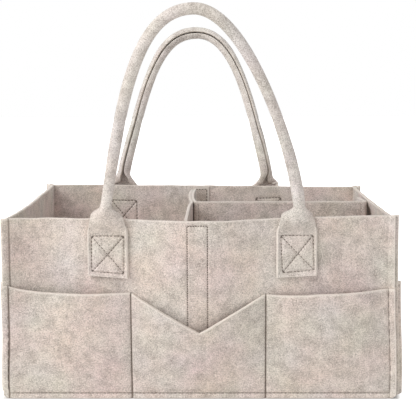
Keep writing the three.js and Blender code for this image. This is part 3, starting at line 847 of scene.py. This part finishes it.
def makeHandle(name):
    wall, look, shift = walls[name], curls[name], handle["shift"][name]
    outward = wall["out"].y
    hinge = next(j for j in frame["joints"] if j["name"] == f"{name}_handle")["pos_m"]
    up = Vector((0, outward * sin(handle["lean"]), cos(handle["lean"])))
    lines = {sign: layLeg(name, sign) for sign in (-1, 1)}
    lugRows = steps(handle["lugBottom"], bag["height"], felt["foldGrid"])
    neckRows = steps(0, strip["neck"], felt["foldGrid"])
    legRows = {sign: merged(neckRows, steps(strip["neck"], lengths[-1], strip["pitch"]))
               for sign, (line, lengths) in lines.items()}
    necks = {}
    for sign, sections in look["sections"].items():
        half, width, turn = sections[0][1] * mm, sections[0][2] * mm, radians(sections[0][3])
        table = curlSection(half, width, turn)
        necks[sign] = dict(width=width, turn=turn, deep=table[2], height=curl(1, width, table)[1])
    rows = ([("lug", z, -1) for z in lugRows] + [("leg", d, -1) for d in legRows[-1]]
            + [("leg", d, 1) for d in reversed(legRows[1][:-1])] + [("lug", z, 1) for z in reversed(lugRows)])
    columns = steps(-1, 1, strip["sideStep"])

    def lugSpot(side, z, sign):  # flat where it is sewn, arched off the wall towards the rim
        full = bag["height"] + handle["arch"]
        share = ease(z, handle["shoulder"], full) / ease(bag["height"], handle["shoulder"], full)
        neck = necks[sign]
        width, deep = lerp(handle["lugWidth"], neck["width"], share), lerp(1, neck["deep"], share)
        table = (*lugRuns(max(neck["turn"] * share, 0.01), deep), deep)
        across, depth = curl(side, width, table)
        below = handle["lugBottom"] + handle["boxInset"] - z
        loose = max(ease(abs(across), handle["boxWidth"] / 2 + handle["looseSide"], handle["lugWidth"] / 2),
                    ease(below, handle["looseEnd"], handle["boxInset"])) * (1 - share)
        raised = curl(1, width, table)[1] - depth + handle["edgeLift"] * loose + handle["rimLift"] * share
        middle = shift + sign * handle["spacing"] / 2
        return (middle - sign * across) * lugStretch(name, sign) + look["lean"][sign] * share, raised

    def press(side, row):
        zone, z, sign = row
        return max(lugPress(name, m, lugSpot(side, z, sign)[0], z) for m in lugMiddles(name)) if zone == "lug" else 0

    def spot(side, row):
        zone, d, sign = row
        if zone == "lug":
            x, raised = lugSpot(side, d, sign)
            flat = 1 - ease(d, *(handle["lugBottom"] + s for s in strip["skew"]))
            skew = handle["skew"][name][sign] * -sign * side * flat
            return wallSpot(wall, x, d + skew, overlayMid + raised - pressIn * press(side, row))
        length = lines[sign][1][-1]
        point, way = legAt(*lines[sign], d)
        loose = ease(d, *strip["loose"])
        twist = handle["wander"] * loose * waver(sign * d / strip["wanderLong"], wall["seed"], 6.6)
        slit = radians(softSteps(look["slit"][sign], d / mm))
        twist += lerp(slit, look["rise"], ease(d, 0.5 * length, length))
        sections = look["sections"][sign]
        half, width, turn = (straight(sections, d / mm, i) for i in (1, 2, 3))
        girth = lerp(1, softSteps(look["girth"][sign], d / mm), ease(d, *strip["girth"]))
        lateral, inward = curl(side, width * girth * mm, curlSection(half * mm, width * mm, radians(turn)), twist)
        aside = legs[name][sign]["base"] * mm - handle["spacing"] / 2 - sign * look["lean"][sign]
        aside *= 1 - ease(d, 0, sections[-1][0] * mm)
        rough = strip["rough"] * loose * waver(sign * d / strip["roughLong"], side * 2, wall["seed"])
        tilt = handle["lean"] * ease(d, *strip["tilt"])
        inwards = Vector((0, -outward * cos(tilt), sin(tilt)))
        standOff = (necks[sign]["height"] + handle["rimLift"]) * (1 - ease(d, *strip["standOff"]))
        x = shift + sign * (point.x - aside - lateral * way.y)
        foot = Vector((x, hinge[1], hinge[2]))
        return foot + up * (point.y + lateral * way.x) + inwards * (inward + rough - standOff)

    # painted shade in the lug's stitch lines
    def paintedShade(side, row):
        return strip["paintedShade"] * press(side, row)

    def wear(side, row):
        return lerp(strip["lugWear"], 1, ease(row[1], *strip["wear"])) if row[0] == "leg" else strip["lugWear"]

    piece = layFelt(f"{name}_handle_felt", columns, rows, spot, press, ease3d=1, paintedShade=paintedShade, wear=wear)
    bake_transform(piece)
    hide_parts(f"{name}_left_lug", f"{name}_right_lug", f"{name}_grip")


for name in longWalls:
    makeHandle(name)
print("handles rolled")


# hook and loop tape: loops on the walls, hooks on the divider's turned ends

def makeTapes(name):
    wall = walls[name]
    left = tape["left"][name]
    right = left + tape["width"]
    columns = steps(left, right, tape["fineGrid"])
    for kind, mid, top, mat, body in (("loop", loopMid, tape["top"][name], loopTape, "bag"),
                                      ("hook", hookMid, tape["hookTop"], hookTape, "divider_insert")):
        rows = merged(steps(tape["bottom"], top, tape["grid"]), steps(top - tape["fineRows"], top, tape["fineGrid"]))

        def border(x, z):
            return 1.0 if min(x - left, right - x, top - z) < tape["border"] else 0.0

        def spot(x, z):
            return wallSpot(wall, x, settled(wall, x, z), mid)

        piece = layFelt(f"{name}_{kind}_tape", columns, rows, spot, border, mat, tape["thick"])
        dressed(piece, body, [f"{name}_{kind}_strip"])


for name in longWalls:
    makeTapes(name)
print("tapes laid")


# divider: a cross piece with turned ends, and a long piece that swings on its sewn leg

crossLow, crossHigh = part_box("cross_divider")
longLow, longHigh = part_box("long_divider")
legLow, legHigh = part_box("divider_leg")
divider = dict(x=crossLow.x + felt["thick"] / 2, bottom=crossLow.z, top=crossHigh.z + 1.3 * mm,
               legX=(legLow.x + legHigh.x) / 2, endX=longHigh.x - felt["thick"] / 2, returnEnd=longHigh.y,
               held=0.9, paintedShade=0.45, plateStep=0.012, rowStep=0.016, legStep=0.02, returnStep=0.04,
               **inMm(flangeTop=163, slope=8, returnLean=3, fold=14, legFold=12, slack=2.2, heldWidth=20, belly=2.3,
                      bellyPlace=75, bellyWidth=45, bellyFrom=30, wave=0.7, waveLong=60, cut=0.35, cutLong=20,
                      cutFrom=100, turnGrid=1.6, seamEnd=2, seamGrid=6))
divider["plateX"] = divider["x"] - divider["slack"]
divider["seams"] = (divider["legX"] + 3.8 * mm, divider["endX"] - 4.7 * mm)
divider["turnedEnd"] = tape["left"]["front"] + tape["width"]
divider["height"] = divider["top"] - divider["bottom"]


def flangeY(name, x, z):
    return wallSpot(walls[name], x, min(z, divider["flangeTop"]), flangeMid).y


def crossX(y, z):  # held by the long piece in the middle, slack behind it
    held = divider["slack"] * divider["held"] * dip(y, divider["heldWidth"])
    belly = divider["belly"] * dip(y - divider["bellyPlace"], divider["bellyWidth"])
    return divider["plateX"] + held - belly * ease(z, divider["bellyFrom"], divider["top"])


def makeCross():
    turnEnd = steps(divider["turnedEnd"], divider["plateX"], divider["turnGrid"])
    columns = ([("front", x) for x in turnEnd] + [("plate", s) for s in steps(0, 1, divider["plateStep"])[1:-1]]
               + [("back", x) for x in reversed(turnEnd)])
    rows = steps(0, 1, divider["rowStep"])

    def topOf(column):
        kind, value = column
        if kind != "plate":
            return divider["flangeTop"]
        near = min(value, 1 - value) * (crossHigh.y - crossLow.y)
        return lerp(divider["flangeTop"], divider["top"], ease(near, 0, divider["slope"]))

    def spot(column, row):
        kind, value = column
        z = lerp(divider["bottom"], topOf(column), row)
        if kind != "plate":
            return Vector((value, flangeY(kind, value, z), z))
        y = lerp(flangeY("front", divider["plateX"], z), flangeY("back", divider["plateX"], z), value)
        return Vector((crossX(y, z), y, z))

    piece = layFelt("cross_divider_felt", columns, rows, spot, ease3d=3)
    dressed(piece, "divider_insert", ["cross_divider"])


def longPath(z):  # plan of the long piece: leg, fold, span, fold, return
    legEnd = flangeY("back", divider["legX"], z) - felt["thick"] / 2 - felt["fit"] * 2
    plan = ((divider["legX"], legEnd), (divider["legX"], 0), (divider["endX"], 0),
            (divider["endX"] - divider["returnLean"], divider["returnEnd"]))
    return [Vector((x, y, 0)) for x, y in plan]


def swingLong(piece):  # bakes the piece's placement into its mesh
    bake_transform(piece)


def makeLong():
    span, fold = divider["endX"] - divider["legX"], divider["fold"]
    across = merged(steps(0, fold, felt["foldGrid"]), steps(fold, span - fold, felt["grid"]),
                    steps(span - fold, span, felt["foldGrid"]))
    columns = [(0, s) for s in steps(0, 1, divider["legStep"])[:-1]] + [(1, x / span) for x in across[:-1]]
    columns += [(2, s) for s in steps(0, 1, divider["returnStep"])]
    rows = steps(divider["bottom"], divider["top"], felt["grid"])

    def press(column, z):
        x = lerp(divider["legX"], divider["endX"], column[1])
        return max(dip(x - seam, pull["divider"]) for seam in divider["seams"]) if column[0] == 1 else 0

    def spot(column, z):
        part, share = column
        path = longPath(z)
        place = path[part].lerp(path[part + 1], share)
        if part == 0:  # the leg lies along the cross piece
            beside = crossX(place.y, z) + felt["thick"] + felt["fit"]
            place.x = lerp(place.x, beside, ease(place.y, 0, divider["legFold"]))
        slow = waver(place.x / divider["waveLong"], z / divider["waveLong"], 8.8)
        quick = waver(place.x / divider["cutLong"], place.y / divider["cutLong"], 1.9)
        sag = divider["wave"] * slow * (sin(share * pi) if part == 1 else 0)
        level = divider["cut"] * quick * ease(z, divider["cutFrom"], divider["top"])
        return Vector((place.x, place.y + sag, z + level))

    # painted shade along the divider's stitch lines
    def paintedShade(column, z):
        return divider["paintedShade"] * press(column, z)

    piece = layFelt("long_divider_felt", columns, rows, spot, press, ease3d=3, paintedShade=paintedShade)
    swingLong(piece)
    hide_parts("divider_leg", "long_divider")


makeCross()
makeLong()
print("divider folded")


# stitching: how far apart and how large the stitches are, where they aren't as thread says

stitches = dict(lug=dict(gap=0.7 * mm, pitch=3.4 * mm, size=0.9), tape=dict(gap=0.8 * mm, pitch=2.3 * mm),
                hem=dict(size=0.7), corner=dict(gap=0, pitch=9 * mm, size=0.8), divider=dict(size=0.7))
hemInset = 7 * mm  # hem stitches end before the corner
cornerRows = inMm(low=8, between=3, below=1.5, grid=4)  # floor to pocket edge, and pocket edge to rim
# how far out the rows lie
proud = thread["rise"] * 0.3
grooveOut = overlayMid - pressIn + felt["thick"] / 4 + proud
insideOut = wallMid - felt["thick"] / 2 + felt["thick"] / 4 - proud
tapeOut = wallMid - pressIn * 0.5 + felt["thick"] * 0.37
loopOut = loopMid - tape["thick"] / 2


def wallSeams(wall, lines, out, count=24, face=1):  # rows of stitches on the outer or inner face of a wall
    seams = []
    for (x1, z1), (x2, z2) in lines:
        spots = [(lerp(x1, x2, i / count), lerp(z1, z2, i / count)) for i in range(count + 1)]
        seams.append(([wallSpot(wall, x, settled(wall, x, z), out) for x, z in spots], wall["out"] * face))
    return seams


for name in longWalls:
    wall = walls[name]
    for side, middle in zip(("left", "right"), lugMiddles(name)):
        box = boxLines(name, middle)
        sew(f"{name}_{side}_lug_thread", "bag", wallSeams(wall, box, grooveOut), [f"{name}_{side}_lug_stitching"],
            **stitches["lug"])
        sew(f"{name}_{side}_lug_inner_thread", "bag", wallSeams(wall, box, insideOut, face=-1))
    left, right, top = tapeFrame(name)
    corners = ((left, tape["bottom"]), (left, top), (right, top), (right, tape["bottom"]))
    frameLines = list(zip(corners, corners[1:]))
    sew(f"{name}_tape_thread", "bag", wallSeams(wall, frameLines, tapeOut, 60), [f"{name}_tape_stitching"],
        **stitches["tape"])
    sew(f"{name}_tape_inner_thread", "bag", wallSeams(wall, frameLines, loopOut, 60, -1))
    for side, x in zip(("left", "right"), pocket["split"]):
        line = ((x, bag["seam"] + 1 * mm), (x, pocketTop(name, x) - 1 * mm))
        sew(f"{name}_{side}_pocket_thread", "bag", wallSeams(wall, [line], grooveOut, 40),
            [f"{name}_{side}_pocket_stitching"])
for name, wall in walls.items():
    reach = wall["nominal"] - hemInset
    hemLine = ((-reach, hemLevel), (reach, hemLevel))
    sew(f"{name}_bottom_thread", "bag", wallSeams(wall, [hemLine], grooveOut, 60), [f"{name}_bottom_stitching"],
        **stitches["hem"])
    corner = []
    for sign in (-1, 1):
        normal = (wall["out"] - wall["side"] * sign).normalized()
        sunk = thread["rise"] * wall["sunk"][sign > 0]
        pocketRow = (overlayMid, cornerRows["low"], pocket["height"])
        wallRow = (wallMid, pocket["height"] + cornerRows["between"], bag["height"] - cornerRows["below"])
        for mid, low, high in (pocketRow, wallRow):
            depth, heights = mid + felt["thick"] / 4 - sunk, steps(low, high, cornerRows["grid"])
            corner.append(([wallSpot(wall, sign * wall["nominal"], z, depth, tips[-1]) for z in heights], normal))
    sew(f"{name}_corner_thread", "bag", corner, **stitches["corner"])
dividerSeams = []
heights = steps(divider["bottom"] + divider["seamEnd"], divider["top"] - divider["seamEnd"], divider["seamGrid"])
for x in divider["seams"]:
    for face in (-1, 1):
        dividerSeams.append(([Vector((x, face * felt["thick"] * 0.2, z)) for z in heights], Vector((0, face, 0))))
swingLong(sew("long_divider_thread", None, dividerSeams, **stitches["divider"]))
print("seams sewn")


# floor, light and camera

def seenDirectly(tree):  # 1 for what the camera sees, also in gloss or through glass
    path = addNode(tree, "LightPath").outputs
    seen = combine(tree, "MAXIMUM", path["Is Camera Ray"], path["Is Glossy Ray"])
    return combine(tree, "MAXIMUM", seen, path["Is Transmission Ray"])


studio = dict(paper=tone(244, 244, 243), shadeFrom=7 * mm, shadeTo=14.5 * mm,  # floor, and where its shade ends
              horizon=1.11, zenith=0.32, keyPower=46.0, keyPlace=(-1.7, -1.2, 1.9), keySize=1.6, aim=(0, 0, 0.12))


def makeFloor():
    bm = bmesh.new()
    bmesh.ops.create_grid(bm, x_segments=2, y_segments=2, size=8)
    mat, tree, shader, coords = startFinish("paperFloor")
    shader.inputs["Roughness"].default_value = 0.9
    shader.inputs["Base Color"].default_value = studio["paper"]
    shader.inputs["Emission Color"].default_value = (1, 1, 1, 1)
    spot = addNode(tree, "SeparateXYZ", {0: coords}).outputs
    away = []
    for axis, half in (("X", bag["halfWidth"]), ("Y", bag["halfDepth"])):
        far = addNode(tree, "Math", {0: spot[axis]}, operation="ABSOLUTE").outputs[0]
        away.append(combine(tree, "SUBTRACT", far, half))
    glow = addNode(tree, "MapRange", {"Value": combine(tree, "MAXIMUM", *away), "From Min": studio["shadeFrom"],
                                      "From Max": studio["shadeTo"]}).outputs[0]
    lit = combine(tree, "MULTIPLY", seenDirectly(tree), glow)
    tree.links.new(lit, shader.inputs["Emission Strength"])
    addPiece("floor", bm, mat)


makeFloor()

world = bpy.data.worlds.new("studio")
bpy.context.scene.world = world
world.use_nodes = True
tree = world.node_tree
aim = addNode(tree, "SeparateXYZ", {0: addNode(tree, "TexCoord").outputs["Generated"]})
sky = addNode(tree, "MapRange", {"Value": aim.outputs["Z"], "To Min": studio["horizon"],
                                 "To Max": studio["zenith"]}).outputs[0]
level = addNode(tree, "MapRange", {"Value": seenDirectly(tree), "To Min": sky, "To Max": 1.0}).outputs[0]
tree.nodes["Background"].inputs["Color"].default_value = (1, 1, 1, 1)
tree.links.new(level, tree.nodes["Background"].inputs["Strength"])

keyLamp = bpy.data.lights.new("key", "AREA")
keyLamp.energy = studio["keyPower"]
keyLamp.size = studio["keySize"]
key = addObject("key", keyLamp)
key.location = studio["keyPlace"]
key.rotation_euler = (Vector(studio["aim"]) - key.location).to_track_quat("-Z", "Y").to_euler()

lens = dict(place=(17.4 * mm, -1000.8 * mm, 305.1 * mm), down=7.57, roll=0.2, turn=0.56, focal=79.18)
cameraData = bpy.data.cameras.new("camera")
cameraData.lens = lens["focal"]
cameraData.sensor_width = 36
camera = addObject("camera", cameraData)
camera.location = lens["place"]
camera.rotation_euler = (radians(90 - lens["down"]), radians(lens["roll"]), radians(lens["turn"]))
bpy.context.scene.camera = camera
bpy.context.scene.view_settings.view_transform = "Standard"
print("stage set")
